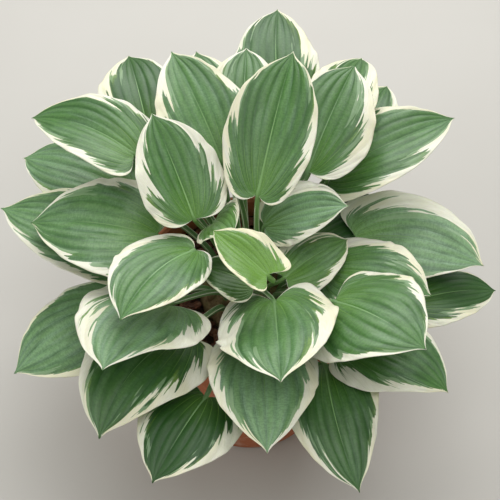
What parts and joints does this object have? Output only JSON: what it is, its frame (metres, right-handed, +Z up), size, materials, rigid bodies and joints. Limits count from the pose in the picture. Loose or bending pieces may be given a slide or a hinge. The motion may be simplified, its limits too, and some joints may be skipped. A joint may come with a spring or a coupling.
{
  "type": "potted hosta plant",
  "caption": "Clump of broad heart-shaped green leaves with cream edges on long stalks, growing from a low crown in a plain tapered clay pot.",
  "frame": {"origin": "middle of the flat underside of the pot, on the surface that it stands on", "axes": "+Z up; -Y towards the side that the picture shows, +X to its right"},
  "size_m": [0.6703, 0.6903, 0.5275],
  "materials": {
    "leaf": "satin, waxy",
    "crown": "rough",
    "bark": "rough",
    "potting_soil": "rough",
    "terracotta": "matt, unglazed"
  },
  "bodies": {
    "root": {"pot": "terracotta", "soil": "potting_soil", "bark_mulch": "bark", "crown": "crown", "leaf_young_cupped": "leaf", "leaf_young_curled": "leaf", "leaf_small_dark": "leaf", "leaf_tall_centre": "leaf", "leaf_tall_left": "leaf", "leaf_tall_right": "leaf", "leaf_left_upright": "leaf", "leaf_right_upright": "leaf", "leaf_left_arched": "leaf", "leaf_front_heart": "leaf", "leaf_back_middle": "leaf", "leaf_back_high": "leaf", "leaf_back_left_inner": "leaf", "leaf_back_left": "leaf", "leaf_back_right": "leaf", "leaf_back_right_low": "leaf", "leaf_left_high": "leaf", "leaf_left_under": "leaf", "leaf_left_far": "leaf", "leaf_left_large": "leaf", "leaf_front_left": "leaf", "leaf_front_left_far": "leaf", "leaf_front_left_low": "leaf", "leaf_front_lowest": "leaf", "leaf_front_middle": "leaf", "leaf_front_right_low": "leaf", "leaf_right_front": "leaf", "leaf_right_front_low": "leaf", "leaf_right_middle": "leaf", "leaf_right_large": "leaf", "leaf_right_far": "leaf", "leaf_right_inner": "leaf", "leaf_right_back": "leaf", "leaf_right_dark": "leaf", "leaf_back_low_1": "leaf", "leaf_back_low_2": "leaf", "leaf_back_low_3": "leaf"}
  },
  "joints": []
}
